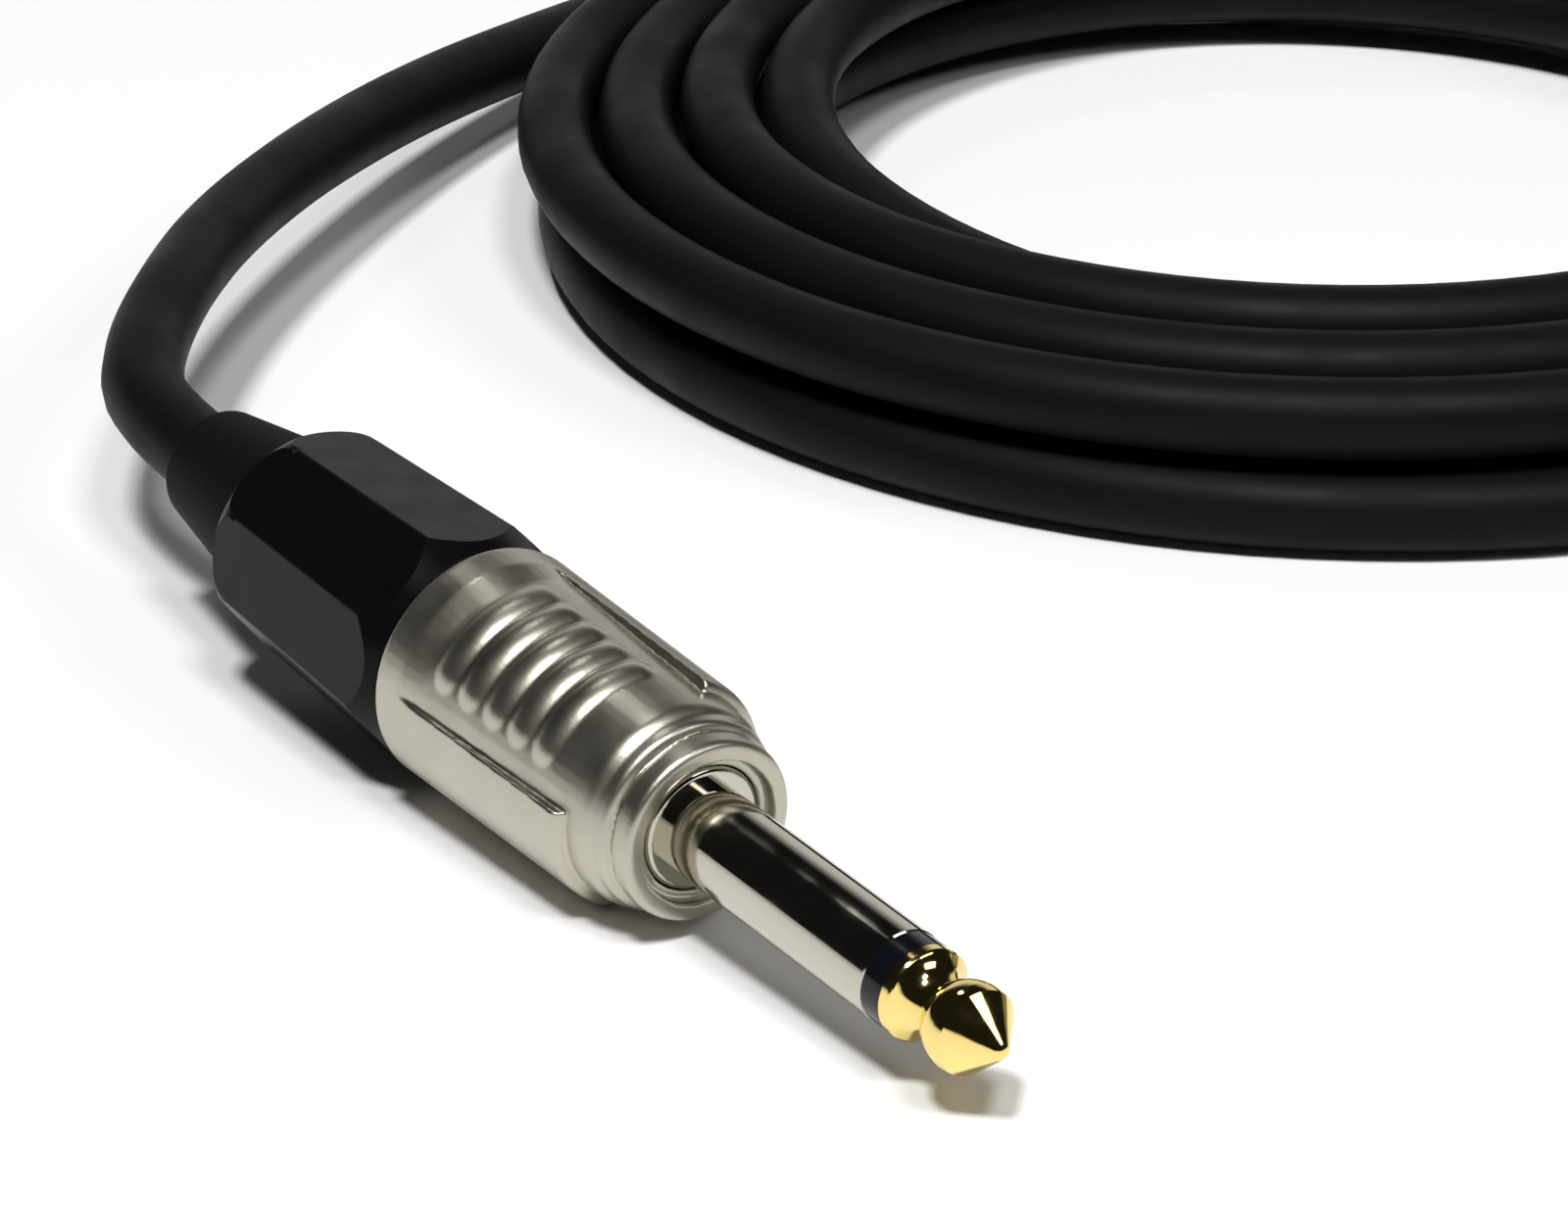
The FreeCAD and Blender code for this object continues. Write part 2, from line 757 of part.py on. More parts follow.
def coil_point(turns):
    """A point of the coil's centre line, so many turns from where it starts."""
    past = turns - coil_turns_in
    if past <= 0:
        radius = coil_outer_radius - coil_pitch_in * turns
    elif past <= coil_turns_climb:
        bend = (coil_pitch_in + coil_pitch_out) / (2 * coil_turns_climb)
        radius = coil_inner_radius - coil_pitch_in * past + bend * past ** 2
    else:
        swing = 0.5 * (coil_pitch_out - coil_pitch_in) * coil_turns_climb
        radius = coil_inner_radius + swing + coil_pitch_out * (past - coil_turns_climb)
    inward = (coil_outer_radius - radius) / (coil_outer_radius - coil_inner_radius)
    climbed = ease(past / coil_turns_climb)
    angle = math.radians(coil_start_angle - 360.0 * turns)
    x = coil_centre[0] + coil_shift[0] * climbed + radius * math.cos(angle)
    y = coil_centre[1] + coil_shift[1] * climbed + radius * math.sin(angle)
    return V(x, y, cable_radius + coil_dish * ease(inward) + coil_layer_step * climbed)


def coil_tangent(turns):
    step = 0.001
    along = coil_point(turns + step).sub(coil_point(turns - step))
    along.normalize()
    return along


def biarc(p0, t0, p1, t1):
    """Two arcs that leave p0 along t0 and reach p1 along t1."""
    chord = p1.sub(p0)
    both = t0.add(t1)
    a = both.dot(both) - 4
    b = -2 * chord.dot(both)
    c = chord.dot(chord)
    reach = (-b - math.sqrt(b * b - 4 * a * c)) / (2 * a)
    q0 = p0.add(t0 * reach)
    q1 = p1.sub(t1 * reach)
    joint = q0.add(q1) * 0.5
    return [arc_by_tangent(p0, t0, joint), arc_by_tangent(joint, q1.sub(q0), p1)]


def arc_by_tangent(start, tangent, end):
    chord = end.sub(start)
    along = V(tangent)
    along.normalize()
    half = along.getAngle(chord)
    across = chord.cross(along).cross(chord)
    across.normalize()
    bulge = 0.5 * chord.Length * math.tan(half / 2)
    middle = start.add(chord * 0.5).add(across * bulge)
    return Part.Arc(start, middle, end).toShape()


def coil_gap(samples_per_turn):
    """The least gap between turns, measured on points along the centre line."""
    count = int(coil_turns * samples_per_turn)
    points = [coil_point(i / samples_per_turn) for i in range(count + 1)]
    least = 1e9
    for i in range(count + 1):
        for j in range(i + samples_per_turn // 2, count + 1):
            least = min(least, points[i].distanceToPoint(points[j]))
    return least - cable_diameter


def make_coil():
    """The coil as one tube on biarcs of about a quarter turn, its ends straight for a diameter."""
    parts = math.ceil(4 * coil_turns)
    stops = [coil_turns * i / parts for i in range(parts + 1)]
    start = coil_point(0).sub(coil_tangent(0) * cable_diameter)
    end = coil_point(coil_turns).add(coil_tangent(coil_turns) * cable_diameter)
    edges = [Part.LineSegment(start, coil_point(0)).toShape()]
    for one, two in zip(stops, stops[1:]):
        edges += biarc(coil_point(one), coil_tangent(one), coil_point(two), coil_tangent(two))
    edges.append(Part.LineSegment(coil_point(coil_turns), end).toShape())
    wire = Part.Wire(edges)
    solid = sweep(wire, start, coil_tangent(0))
    report_cord("coil", wire, solid)
    print("coil least gap %.2f" % coil_gap(120), "inner radius %.1f" % coil_inner_radius)
    return solid, wire.Length, start, end


def tuples(points):
    return [(p.x, p.y, p.z) for p in points]


def write(name, shape):
    solids = shape.Solids
    if len(solids) != 1 or not shape.isValid():
        print("look at", name, "solids", len(solids), "valid", shape.isValid())
    single = solids[0] if len(solids) == 1 else shape
    single.exportStep("parts/%s.step" % name)


def main():
    os.makedirs("parts", exist_ok=True)
    plug = make_plug()

    front, lift, axis = place_plug(plug, plug_roll, 0.0)
    shift(front, lift)
    boxes = [shape.optimalBoundingBox(True, False) for shape in front.values()]
    middle = 0.5 * (min(box.XMin for box in boxes) + max(box.XMax for box in boxes))
    shift(front, V(-middle, 0, 0))
    front_face = lift.add(V(-middle, 0, 0))
    front_exit = front_face.add(axis * exit_at)

    far, far_lift, far_axis = place_plug(plug, far_plug_roll, far_heading)
    far_face = V(far_exit[0], far_exit[1], 0).sub(V(far_axis.x, far_axis.y, 0) * exit_at).add(far_lift)
    shift(far, far_face)
    far_exit_point = far_face.add(far_axis * exit_at)

    coil, coil_length, coil_start, coil_end = make_coil()
    merge = coil_start.sub(coil_tangent(0) * merge_run)
    free_route = tuples([front_exit, front_exit.sub(axis * exit_run)])
    free_route += free_points + tuples([merge, coil_start])
    free, free_length = cord_tube("free_stretch", free_route)

    leave = coil_end.add(coil_tangent(coil_turns) * leave_run)
    tail_route = tuples([coil_end, leave]) + tail_points
    tail_route += tuples([far_exit_point.sub(far_axis * exit_run), far_exit_point])
    tail, tail_length = cord_tube("tail", tail_route)

    for name, shape in front.items():
        write("front_" + name, shape)
    for name, shape in far.items():
        write("far_" + name, shape)
    write("free_stretch", free)
    write("coil", coil)
    write("tail", tail)

    show = lambda p: tuple(round(value, 6) for value in (p.x, p.y, p.z))
    print("front face", show(front_face), "axis", show(axis), "exit", show(front_exit))
    print("front tilt %.3f" % rest_tilt(plug_roll), "far tilt %.3f" % rest_tilt(far_plug_roll))
    print("far face", show(far_face), "axis", show(far_axis), "exit", show(far_exit_point))
    print("coil from", show(coil_start), "to", show(coil_end), "start tangent", show(coil_tangent(0)))
    inner_length = 2 * (-exit_at - jacket_starts)
    cable_length = free_length + coil_length + tail_length
    end_to_end = cable_length + 2 * (sleeve_length + ring_width + tip_length - exit_at)
    print("cable outside the plugs %.1f, jacket in all %.1f" % (cable_length, cable_length + inner_length))
    print("tip to tip %.1f, screw travel %.2f" % (end_to_end, screw_travel))


main()
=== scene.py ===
# %% [markdown]
# # An instrument cable on a white table
#
# The object is a cable of nearly 3 m with a straight quarter-inch plug at each end. One plug
# lies in front, pointing at the viewer, and the cable runs back from it into a flat coil. The
# hard pieces were modelled in CAD and arrive here as a fixed frame. This lesson gives them
# their finishes, makes the cable as one smooth curve, and sets up the table, lamps and camera.

# %% Bring in the frame
import math

import bmesh
import bpy
from mathutils import Matrix, Vector


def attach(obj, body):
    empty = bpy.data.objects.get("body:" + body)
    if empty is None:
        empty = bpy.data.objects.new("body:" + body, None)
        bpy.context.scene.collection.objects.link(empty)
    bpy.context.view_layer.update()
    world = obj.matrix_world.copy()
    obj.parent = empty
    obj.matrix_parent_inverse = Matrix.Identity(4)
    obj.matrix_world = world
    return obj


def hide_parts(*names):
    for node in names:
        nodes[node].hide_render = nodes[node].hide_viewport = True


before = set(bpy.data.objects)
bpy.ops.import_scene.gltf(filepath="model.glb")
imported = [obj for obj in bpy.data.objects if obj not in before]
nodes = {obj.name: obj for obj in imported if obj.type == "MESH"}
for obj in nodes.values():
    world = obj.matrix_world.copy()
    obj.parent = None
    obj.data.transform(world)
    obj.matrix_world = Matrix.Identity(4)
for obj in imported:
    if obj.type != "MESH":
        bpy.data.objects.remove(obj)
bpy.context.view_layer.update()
print("pieces from CAD:", len(nodes))

# %% [markdown]
# ## Camera
#
# A close product shot like this one is taken with a long lens, here from about 0.35 m, so the
# plug is only mildly foreshortened. The camera looks a little down, along the plug, with the
# tip nearest. A photographer would frame by eye. Here the place and the direction are
# numbers, and a matrix built from the right, up and backward directions turns the camera.

# %% Camera
CAMERA_AT = Vector((0.283695, -0.18691, 0.17804))
VIEW = Vector((-0.73468, 0.52672, -0.42756))
LENS = 135.0
SENSOR_WIDTH = 36.0
NEAREST_SEEN = 0.01


def add_object(name, data):
    made = bpy.data.objects.new(name, data)
    bpy.context.scene.collection.objects.link(made)
    return made


def add_camera():
    data = bpy.data.cameras.new("camera")
    data.lens = LENS
    data.sensor_width = SENSOR_WIDTH
    data.clip_start = NEAREST_SEEN
    camera = add_object("camera", data)
    back = -VIEW.normalized()
    right = VIEW.cross(Vector((0, 0, 1))).normalized()
    up = back.cross(right)
    turn = Matrix((right, up, back)).transposed()
    camera.matrix_world = Matrix.Translation(CAMERA_AT) @ turn.to_4x4()
    bpy.context.scene.camera = camera


add_camera()
print("camera height %.3f m, lens %.0f mm" % (CAMERA_AT.z, LENS))

# %% [markdown]
# ## The plugs' axes
#
# Both plugs were made along one axis and then laid down, so any lathe mark, thread or knurl
# on them is easiest to describe along that axis and round it. Each plug gets a small record
# with the point where its finger leaves the shell and the direction to its tip.

# %% Plug axes
FRONT_FACE = Vector((0.014936, 0.0, 0.0072198))
FRONT_AXIS = Vector((0.998248, 0.0, -0.059174))
FAR_FACE = Vector((0.0566228, 0.0649206, 0.0072801))
FAR_AXIS = Vector((0.468818, -0.881718, -0.052764))
EXIT_BACK = 0.0602

front_exit = FRONT_FACE - EXIT_BACK * FRONT_AXIS
far_exit = FAR_FACE - EXIT_BACK * FAR_AXIS
print("cable leaves the front plug at", tuple(round(v, 4) for v in front_exit))

# %% [markdown]
# ## The cable
#
# The cable is 6 mm of flexible black jacket, one unbroken length from plug to plug. It leaves
# the plug straight, swings left and back, settles on the table and winds into a coil of seven
# turns in two layers, then runs off to the second plug. A cable could be swept as a mesh, but
# a curve with a round bevel is the natural way, because its bends stay smooth however long it
# is. A NURBS curve of order three cuts inside its control points, so the points of the turns
# sit a little further out than the turns themselves.

# %% Cable route
CABLE_DIAMETER = 0.006
LEAD_OUT = [
    (-0.0632, 0.0044, 0.0117),
    (-0.0727, 0.0123, 0.0116),
    (-0.0838, 0.0233, 0.0109),
    (-0.0956, 0.0386, 0.0096),
    (-0.1069, 0.0560, 0.0076),
    (-0.1160, 0.0740, 0.0054),
    (-0.1226, 0.0915, 0.0038),
    (-0.1256, 0.1080, 0.0031),
    (-0.1248, 0.1240, 0.0030),
    (-0.1189, 0.1395, 0.0030),
    (-0.1086, 0.1520, 0.0030),
    (-0.0929, 0.1650, 0.0030),
]
LEAD_IN = [
    (-0.0096, 0.1588, 0.0098),
    (0.0030, 0.1499, 0.0104),
    (0.0141, 0.1393, 0.0111),
]
EXIT_RUN = 0.010

COIL_CENTRE = (-0.0546, 0.1095)
COIL_SHIFT = (0.0004, -0.0005)
COIL_OUTER = 0.0652
PITCH_IN = 0.0068
PITCH_OUT = 0.0066
TURNS_IN = 3.25
TURNS_CLIMB = 0.5
TURNS_OUT = 3.389
START_ANGLE = 110.0
LAYER_STEP = 0.0066
DISH = 0.0022
POINTS_PER_TURN = 16

coil_turns = TURNS_IN + TURNS_CLIMB + TURNS_OUT
coil_inner = COIL_OUTER - PITCH_IN * TURNS_IN


def ease(share):
    share = min(max(share, 0.0), 1.0)
    return share * share * (3 - 2 * share)


def coil_point(turns):
    """A control point of the coil, so many turns from where it starts on the table."""
    past = turns - TURNS_IN
    if past <= 0:
        radius = COIL_OUTER - PITCH_IN * turns
    elif past <= TURNS_CLIMB:
        bend = (PITCH_IN + PITCH_OUT) / (2 * TURNS_CLIMB)
        radius = coil_inner - PITCH_IN * past + bend * past ** 2
    else:
        swing = 0.5 * (PITCH_OUT - PITCH_IN) * TURNS_CLIMB
        radius = coil_inner + swing + PITCH_OUT * (past - TURNS_CLIMB)
    inward = (COIL_OUTER - radius) / (COIL_OUTER - coil_inner)
    climbed = ease(past / TURNS_CLIMB)
    angle = math.radians(START_ANGLE - 360.0 * turns)
    reach = radius / math.cos(math.pi / POINTS_PER_TURN)
    x = COIL_CENTRE[0] + COIL_SHIFT[0] * climbed + reach * math.cos(angle)
    y = COIL_CENTRE[1] + COIL_SHIFT[1] * climbed + reach * math.sin(angle)
    return (x, y, CABLE_DIAMETER / 2 + DISH * ease(inward) + LAYER_STEP * climbed)


def cable_route():
    count = round(coil_turns * POINTS_PER_TURN)
    coil = [coil_point(coil_turns * i / count) for i in range(count + 1)]
    start = [tuple(front_exit), tuple(front_exit - EXIT_RUN * FRONT_AXIS)]
    end = [tuple(far_exit - EXIT_RUN * FAR_AXIS), tuple(far_exit)]
    return start + LEAD_OUT + coil + LEAD_IN + end


def add_cable(points):
    data = bpy.data.curves.new("cable", "CURVE")
    data.dimensions = "3D"
    data.bevel_depth = 1.0
    data.bevel_resolution = 7
    data.resolution_u = 6
    data.use_fill_caps = True
    spline = data.splines.new("NURBS")
    spline.points.add(len(points) - 1)
    for point, place in zip(spline.points, points):
        point.co = (*place, 1.0)
        point.radius = CABLE_DIAMETER / 2
    spline.order_u = 3
    spline.use_endpoint_u = True
    return add_object("cable", data)


route = cable_route()
cable = add_cable(route)
print("cable follows", len(route), "points")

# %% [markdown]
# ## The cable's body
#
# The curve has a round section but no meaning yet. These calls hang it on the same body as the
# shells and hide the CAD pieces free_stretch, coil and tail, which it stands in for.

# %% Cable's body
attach(cable, "cable_with_shells")
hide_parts("free_stretch", "coil", "tail")

# %% [markdown]
# ## Helpers for finishes
#
# Every finish below is a Principled shader with a few nodes in front of it. A small class
# keeps the wiring short: it makes a node, sets its inputs and links other nodes into them.
# The plugs are turned parts, so it also offers the distance along a plug's axis, which is
# what a lathe mark or a moulding line follows. A finish that follows an axis is made once for
# each plug, because the two axes differ.

# %% Finish helper
PLUG_AXES = {"front": (FRONT_FACE, FRONT_AXIS), "far": (FAR_FACE, FAR_AXIS)}


class Finish:
    """A material with a Principled shader, and short calls to wire nodes into it."""

    def __init__(self, name, colour, metal=0.0, rough=0.5, **sockets):
        self.material = bpy.data.materials.new(name)
        self.material.use_nodes = True
        self.tree = self.material.node_tree
        self.shader = self.tree.nodes["Principled BSDF"]
        self.shader.inputs["Base Color"].default_value = (*colour, 1.0)
        self.shader.inputs["Metallic"].default_value = metal
        self.shader.inputs["Roughness"].default_value = rough
        for socket, value in sockets.items():
            self.shader.inputs[socket.replace("_", " ")].default_value = value
        self.place = self.node("TexCoord").outputs["Object"]

    def node(self, kind, links=None, **settings):
        made = self.tree.nodes.new("ShaderNode" + kind)
        for key, value in settings.items():
            setattr(made, key, value)
        for key, source in (links or {}).items():
            if hasattr(source, "is_output"):
                self.tree.links.new(source, made.inputs[key])
            else:
                made.inputs[key].default_value = source
        return made

    def noise(self, scale, detail):
        wires = {"Vector": self.place, "Scale": scale, "Detail": detail}
        return self.node("TexNoise", wires).outputs["Fac"]

    def spread(self, value, low, high, start, end):
        """Turn a value that runs from start to end into one that runs from low to high."""
        wires = {"Value": value, "From Min": start, "From Max": end, "To Min": low, "To Max": high}
        return self.node("MapRange", wires).outputs["Result"]

    def along(self, plug):
        """Distance along a plug's axis from the front of its shell, in metres."""
        face, axis = PLUG_AXES[plug]
        away = self.node("VectorMath", {0: self.place, 1: tuple(face)}, operation="SUBTRACT")
        dot = self.node("VectorMath", {0: away.outputs[0], 1: tuple(axis)}, operation="DOT_PRODUCT")
        return dot.outputs["Value"]

    def lathe_marks(self, plug, per_metre):
        """Fine rings round the axis: noise that changes only with the distance along it."""
        scaled = self.node("Math", {0: self.along(plug), 1: per_metre}, operation="MULTIPLY")
        wires = {"W": scaled.outputs[0], "Scale": 1.0, "Detail": 4.0}
        return self.node("TexNoise", wires, noise_dimensions="1D").outputs["Fac"]

    def bump(self, height, depth, after=None):
        wires = {"Height": height, "Distance": depth, "Strength": 1.0}
        if after:
            wires["Normal"] = after
        return self.node("Bump", wires).outputs["Normal"]

    def feed(self, **sources):
        for socket, source in sources.items():
            self.tree.links.new(source, self.shader.inputs[socket])
        return self

    def patches(self, scale, low, high, detail=3.0, start=0.3, end=0.7):
        """Let the roughness wander between two values in soft patches."""
        noise = self.noise(scale, detail)
        return self.feed(Roughness=self.spread(noise, low, high, start, end))

    def grain(self, scale, depth, detail=3.0):
        """Cover the surface with fine bumps, their depth in metres."""
        return self.feed(Normal=self.bump(self.noise(scale, detail), depth))


def paint(piece, finish):
    """Give a piece one finish all over."""
    piece.data.materials.clear()
    piece.data.materials.append(finish.material)


def paint_node(name, finish):
    """Give a CAD piece a finish by its material slots, which leaves its mesh alone."""
    for slot in nodes[name].material_slots:
        slot.material = finish.material


print("finishes follow the axes of:", ", ".join(PLUG_AXES))

# %% [markdown]
# ## Gold tip
#
# The tip contact is brass with a thin bright gold plate. Gold has no diffuse colour of its
# own: nearly all of what it shows is the room, tinted warm. So the finish is a clean metal
# with a low roughness, and the only texture is what the lathe and years of sockets leave,
# fine rings and a faint haze. A fine groove runs round it where its rim meets its neck.

# %% Gold
RIM_EDGE = 0.02275
GROOVE_HALF = 0.00009
GROOVE_DEPTH = 0.00004
GOLD_RINGS = 9000.0
GOLD_RING_DEPTH = 0.0000012


def gold_plate(plug):
    gold = Finish("gold_" + plug, (0.93, 0.73, 0.27), metal=1.0, rough=0.1)
    gold.patches(900.0, 0.05, 0.13)
    from_edge = gold.node("Math", {0: gold.along(plug), 1: RIM_EDGE}, operation="SUBTRACT")
    distance = gold.node("Math", {0: from_edge.outputs[0]}, operation="ABSOLUTE").outputs[0]
    groove = gold.spread(distance, 0.0, 1.0, 0.0, GROOVE_HALF)
    cut = gold.bump(groove, GROOVE_DEPTH)
    rings = gold.lathe_marks(plug, GOLD_RINGS)
    return gold.feed(Normal=gold.bump(rings, GOLD_RING_DEPTH, after=cut))


for plug in PLUG_AXES:
    paint_node(plug + "_tip", gold_plate(plug))
    print(plug, "tip is gold, with a groove at", RIM_EDGE, "m")

# %% [markdown]
# ## Nickel
#
# The sleeve is turned brass with bright nickel, almost a mirror. The shell is a die casting
# that was tumbled before plating, so its nickel is satin: much the same warm grey, but the
# light spreads on it. They are two finishes, told apart by roughness and by their marks: rings
# from the lathe on the sleeve, and a fine grain on the casting.

# %% Nickel
BRIGHT = (0.54, 0.515, 0.437)
SATIN = (0.50, 0.475, 0.393)
SLEEVE_RINGS = 14000.0
SLEEVE_RING_DEPTH = 0.0000008


def bright_nickel(plug):
    nickel = Finish("bright_nickel_" + plug, BRIGHT, metal=1.0, rough=0.08)
    nickel.patches(450.0, 0.05, 0.15, detail=5.0, start=0.35, end=0.75)
    rings = nickel.lathe_marks(plug, SLEEVE_RINGS)
    return nickel.feed(Normal=nickel.bump(rings, SLEEVE_RING_DEPTH))


def satin_nickel(plug):
    nickel = Finish("satin_nickel_" + plug, SATIN, metal=1.0, rough=0.3)
    nickel.patches(260.0, 0.29, 0.39, detail=4.0)
    return nickel.grain(5200.0, 0.000006, detail=2.0)


satin = {plug: satin_nickel(plug) for plug in PLUG_AXES}
for plug in PLUG_AXES:
    paint_node(plug + "_sleeve", bright_nickel(plug))
    paint_node(plug + "_shell", satin[plug])
    print(plug, "sleeve is bright nickel, its shell satin")

# %% [markdown]
# ## The shell's casting
#
# The shell is a zinc die casting. It is tumbled before it is plated, so none of its edges is
# sharp: the ridges melt into their panels, and the steps beside them have soft lips. The stub at
# the back carries the thread for the cap. The CAD solid has the right shape with crisp edges
# and a plain stub. One could round each edge by hand. Here the solid and a swept thread are
# joined, remeshed on a fine voxel grid and smoothed a little, which rounds every edge at
# once, as the tumbling does. The result stands in for the CAD shell.

# %% Thread
THREAD_PITCH = 0.00125
THREAD_FROM = 0.0272
THREAD_TURNS = 7.2
THREAD_ROOT = 0.00615
THREAD_CREST = 0.00655
THREAD_SUNK = 0.0004
THREAD_FOOT = 0.42
THREAD_FLAT = 0.12
THREAD_RUN_OUT = 0.3
THREAD_STEPS = 48


def plug_point(plug, back, radius, angle):
    """A point by its distance behind the shell's front, its radius and its angle."""
    face, axis = PLUG_AXES[plug]
    side = axis.cross(Vector((0, 0, 1))).normalized()
    rise = side.cross(axis)
    return face - back * axis + radius * (math.cos(angle) * rise + math.sin(angle) * side)


def sweep_thread(form, plug):
    """Add a ridge round the stub, its widths in shares of the pitch, its ends run out."""
    rings = []
    low = THREAD_ROOT - THREAD_SUNK
    count = round(THREAD_TURNS * THREAD_STEPS)
    for i in range(count + 1):
        turn = i / THREAD_STEPS
        height = ease(turn / THREAD_RUN_OUT) * ease((THREAD_TURNS - turn) / THREAD_RUN_OUT)
        crest = THREAD_ROOT + (THREAD_CREST - THREAD_ROOT) * height
        back = THREAD_FROM + THREAD_PITCH * turn
        angle = -math.tau * turn
        section = ((-THREAD_FOOT, low), (-THREAD_FOOT, THREAD_ROOT), (-THREAD_FLAT, crest),
                   (THREAD_FLAT, crest), (THREAD_FOOT, THREAD_ROOT), (THREAD_FOOT, low))
        points = [plug_point(plug, back + part * THREAD_PITCH, r, angle) for part, r in section]
        rings.append([form.verts.new(p) for p in points])
    for one, two in zip(rings, rings[1:]):
        for k in range(len(one)):
            after = (k + 1) % len(one)
            form.faces.new((one[k], one[after], two[after], two[k]))
    form.faces.new(rings[0][::-1])
    form.faces.new(rings[-1])


print("thread of", THREAD_TURNS, "turns,", THREAD_PITCH, "m apart")

# %% Castings
VOXEL = 0.00013
SMOOTH_SHARE = 0.5
SMOOTH_ROUNDS = 5


def tumbled(name, source, plug):
    """A copy of a CAD shell with its thread added and every edge rounded a little."""
    form = bmesh.new()
    form.from_mesh(nodes[source].data)
    sweep_thread(form, plug)
    bmesh.ops.recalc_face_normals(form, faces=form.faces[:])
    rough_mesh = bpy.data.meshes.new(name + "_rough")
    form.to_mesh(rough_mesh)
    form.free()
    rough = add_object(name + "_rough", rough_mesh)
    remesh = rough.modifiers.new("remesh", "REMESH")
    remesh.mode = "VOXEL"
    remesh.voxel_size = VOXEL
    soft = rough.modifiers.new("soft", "SMOOTH")
    soft.factor = SMOOTH_SHARE
    soft.iterations = SMOOTH_ROUNDS
    seen = rough.evaluated_get(bpy.context.evaluated_depsgraph_get())
    smooth = bpy.data.meshes.new_from_object(seen)
    smooth.name = name
    smooth.shade_smooth()
    bpy.data.objects.remove(rough)
    bpy.data.meshes.remove(rough_mesh)
    return add_object(name, smooth)


for plug in PLUG_AXES:
    casting = tumbled(plug + "_shell_casting", plug + "_shell", plug)
    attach(casting, "cable_with_shells")
    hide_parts(plug + "_shell")
    paint(casting, satin[plug])
    print(plug, "casting has", len(casting.data.polygons), "faces")

# %% [markdown]
# ## Black plastics and rubber
#
# The cap is hard moulded plastic with a slight gloss, the ring between the contacts is nearly
# the same colour but smoother, and the bend relief and the jacket are soft. What tells black
# things apart is mostly how they shine, so each gets its own roughness and grain.

# %% Black finishes
def cap_plastic():
    plastic = Finish("cap_plastic", (0.003, 0.003, 0.003), rough=0.3, Specular_IOR_Level=0.1)
    plastic.patches(320.0, 0.24, 0.36, detail=5.0)
    return plastic.grain(7000.0, 0.000004, detail=2.0)


def insulator_plastic():
    plastic = Finish("insulator_plastic", (0.004, 0.005, 0.008), rough=0.1, Specular_IOR_Level=0.3)
    return plastic.patches(1500.0, 0.07, 0.14)


def relief_rubber():
    rubber = Finish("relief_rubber", (0.003, 0.003, 0.003), rough=0.6, Specular_IOR_Level=0.06)
    return rubber.grain(9000.0, 0.00001, detail=2.0)


def jacket_plastic():
    jacket = Finish("cable_jacket", (0.004, 0.004, 0.004), rough=0.5, Specular_IOR_Level=0.1)
    jacket.patches(140.0, 0.46, 0.6, detail=5.0)
    return jacket.grain(2600.0, 0.000012, detail=4.0)


cap_black = cap_plastic()
insulator_black = insulator_plastic()
rubber_black = relief_rubber()
jacket_black = jacket_plastic()
paint(cable, jacket_black)
for plug in PLUG_AXES:
    paint_node(plug + "_cap", cap_black)
    paint_node(plug + "_bend_relief", rubber_black)
    paint_node(plug + "_jacket", jacket_black)
    for name in ("_tip_insulator", "_rear_insulator", "_liner"):
        paint_node(plug + name, insulator_black)
blacks = (cap_black, insulator_black, rubber_black, jacket_black)
print("black finishes:", ", ".join(finish.material.name for finish in blacks))

# %% [markdown]
# ## Inside the plug
#
# The pieces inside only show when the cap is unscrewed or someone cuts the plug open, but
# they are real: a moulded chuck, tinned tags, bare copper, a black conductive layer under the
# screen, natural white insulation and solder. Each gets a finish like the ones outside.

# %% Inner finishes
def chuck_plastic():
    return Finish("chuck_plastic", (0.05, 0.05, 0.055), rough=0.45).grain(5000.0, 0.000005)


def tinned_brass():
    tin = Finish("tinned_brass", (0.70, 0.66, 0.55), metal=1.0, rough=0.3)
    return tin.patches(1200.0, 0.2, 0.42)


def copper():
    wire = Finish("copper", (0.72, 0.36, 0.20), metal=1.0, rough=0.3)
    return wire.patches(2500.0, 0.22, 0.45)


def conductive_plastic():
    carbon = Finish("conductive_plastic", (0.012, 0.012, 0.013), rough=0.5, Specular_IOR_Level=0.2)
    carbon.patches(1600.0, 0.42, 0.62)
    return carbon.grain(6000.0, 0.000006)


def dielectric_plastic():
    return Finish("dielectric_plastic", (0.80, 0.79, 0.74), rough=0.4).grain(2500.0, 0.000004)


def solder():
    tin = Finish("solder", (0.62, 0.62, 0.64), metal=1.0, rough=0.25)
    return tin.patches(1800.0, 0.15, 0.4)


inner_finishes = {
    chuck_plastic(): ("_chuck",),
    tinned_brass(): ("_tip_terminal", "_ground_lug"),
    copper(): ("_shield", "_core_wire"),
    conductive_plastic(): ("_conductive_layer",),
    dielectric_plastic(): ("_dielectric",),
    solder(): ("_tip_solder", "_ground_solder"),
}
for finish, names in inner_finishes.items():
    for plug in PLUG_AXES:
        for name in names:
            paint_node(plug + name, finish)
print("inner finishes:", len(inner_finishes))

# %% [markdown]
# ## Table
#
# The photograph's table is plain white paper or board, and all it has to do is to take the
# shadows. A sheet that curves up at the back would hide a horizon, but the camera looks down
# and sees none, so one large flat square is enough. Its finish is matt white, so that no
# mirror image lies under the cable.

# %% Table
TABLE_REACH = 4.0


def add_table():
    data = bpy.data.meshes.new("table")
    form = bmesh.new()
    bmesh.ops.create_grid(form, x_segments=1, y_segments=1, size=TABLE_REACH)
    form.to_mesh(data)
    form.free()
    table = add_object("table", data)
    board = Finish("table_board", (0.95, 0.95, 0.955), rough=0.6, Specular_IOR_Level=0.3)
    paint(table, board)
    print("table corners:", [tuple(corner.co) for corner in data.vertices])


add_table()

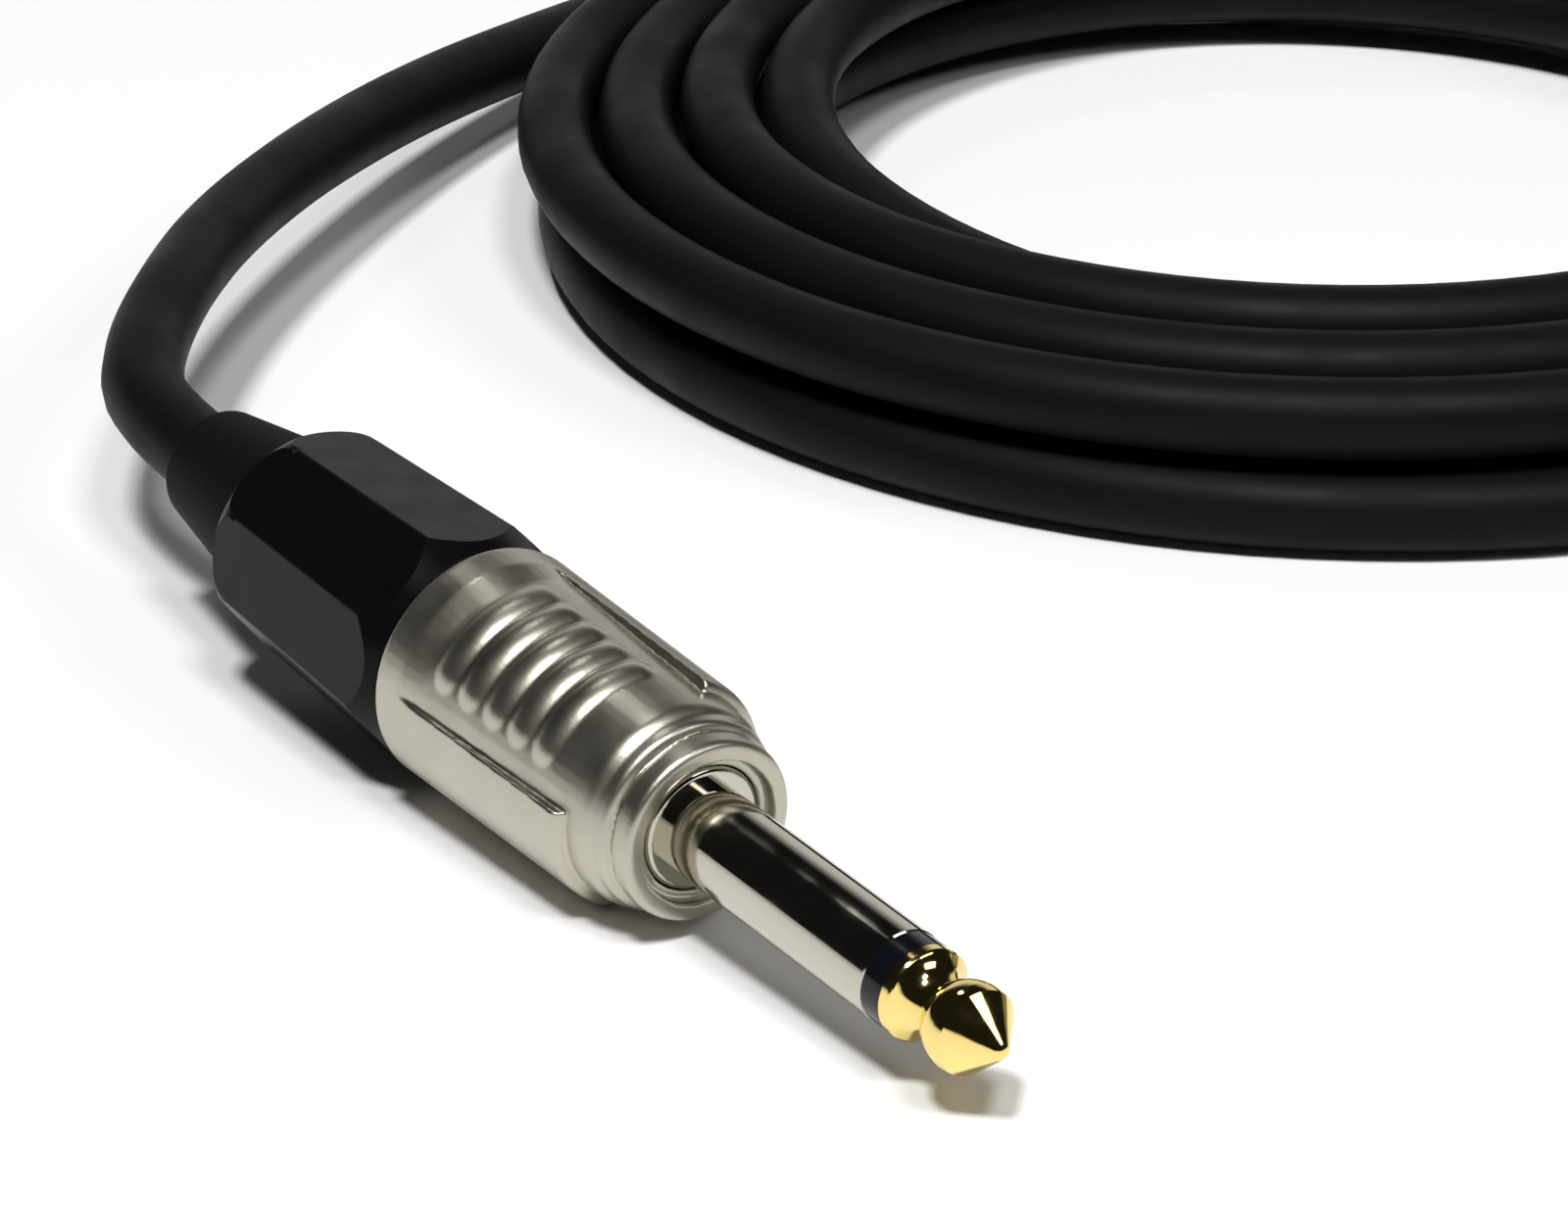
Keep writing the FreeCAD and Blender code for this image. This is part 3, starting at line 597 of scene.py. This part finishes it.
# %% [markdown]
# ## Room
#
# Metal shows its room, and a room that is white all round would leave the plug pale and flat.
# The sleeve is nearly a mirror, so it tells what stood round the real one: darkness overhead,
# a pale line at the horizon, and a pale backdrop behind the coil. One could build that from
# planes. Here the world's colour does it, from the direction in which each ray leaves.

# %% Room
ROOM_DARK = 0.010
ROOM_PALE = 0.72
BACKDROP_WAY = Vector((-0.77, 0.64, 0.0))
BACKDROP_SIDES = (0.74, 0.86)
BACKDROP_TOP = (0.64, 0.30)
HORIZON_TOP = (0.09, 0.04)


def add_room():
    """A dark room with a pale line along the horizon and a pale backdrop behind the coil."""
    world = bpy.data.worlds.new("room")
    world.use_nodes = True
    tree = world.node_tree
    place = tree.nodes.new("ShaderNodeTexCoord")
    parts = tree.nodes.new("ShaderNodeSeparateXYZ")
    tree.links.new(place.outputs["Generated"], parts.inputs[0])

    def step(value, start, end):
        ease_in = tree.nodes.new("ShaderNodeMapRange")
        ease_in.interpolation_type = "SMOOTHSTEP"
        ease_in.inputs["From Min"].default_value = start
        ease_in.inputs["From Max"].default_value = end
        tree.links.new(value, ease_in.inputs["Value"])
        return ease_in.outputs["Result"]

    def mix(kind, a, b):
        node = tree.nodes.new("ShaderNodeMath")
        node.operation = kind
        tree.links.new(a, node.inputs[0])
        tree.links.new(b, node.inputs[1])
        return node.outputs[0]

    towards = tree.nodes.new("ShaderNodeVectorMath")
    towards.operation = "DOT_PRODUCT"
    tree.links.new(place.outputs["Generated"], towards.inputs[0])
    towards.inputs[1].default_value = BACKDROP_WAY
    sector = step(towards.outputs["Value"], *BACKDROP_SIDES)
    below_top = step(parts.outputs["Z"], *BACKDROP_TOP)
    horizon = step(parts.outputs["Z"], *HORIZON_TOP)
    pale = mix("MAXIMUM", horizon, mix("MULTIPLY", sector, below_top))
    light = tree.nodes.new("ShaderNodeMapRange")
    light.inputs["To Min"].default_value = ROOM_DARK
    light.inputs["To Max"].default_value = ROOM_PALE
    tree.links.new(pale, light.inputs["Value"])
    tree.links.new(light.outputs["Result"], tree.nodes["Background"].inputs["Color"])
    tree.nodes["Background"].inputs["Strength"].default_value = 1.0
    bpy.context.scene.world = world


add_room()
print("room from", ROOM_DARK, "to", ROOM_PALE)

# %% [markdown]
# ## Lamps
#
# Two large lamps hang high behind the viewer, one to the left and one to the right. They throw
# two soft shadows, which lie over each other under the plug and part at its tip, and they
# make the bright streaks on the ridges. A lower window lamp on the right gives the glints on
# the tip's neck, and a small ceiling lamp beyond the plug puts a grey glow on top of the satin
# shell. Area lamps are used for all, because their size sets how soft a shadow or a glint is.
# The Standard view transform shows the table as white as the lamps make it.

# %% Lamps
LAMP_AIM = Vector((0.0, 0.02, 0.0))


def add_lamp(name, place, watts, size):
    data = bpy.data.lights.new(name, "AREA")
    data.shape = "RECTANGLE"
    data.energy = watts
    data.size, data.size_y = size
    lamp = add_object(name, data)
    lamp.location = place
    lamp.rotation_euler = (Vector(place) - LAMP_AIM).to_track_quat("Z", "Y").to_euler()


add_lamp("key_left", (0.52, -0.70, 2.2), 40.0, (0.36, 0.36))
add_lamp("key_right", (1.00, -0.18, 2.2), 20.0, (0.5, 0.4))
add_lamp("window", (0.79, 0.53, 0.86), 2.2, (0.5, 0.36))
add_lamp("ceiling", (-1.07, 0.23, 1.68), 1.7, (0.26, 0.26))
bpy.context.scene.view_settings.view_transform = "Standard"
print("lamps:", len(bpy.data.lights))
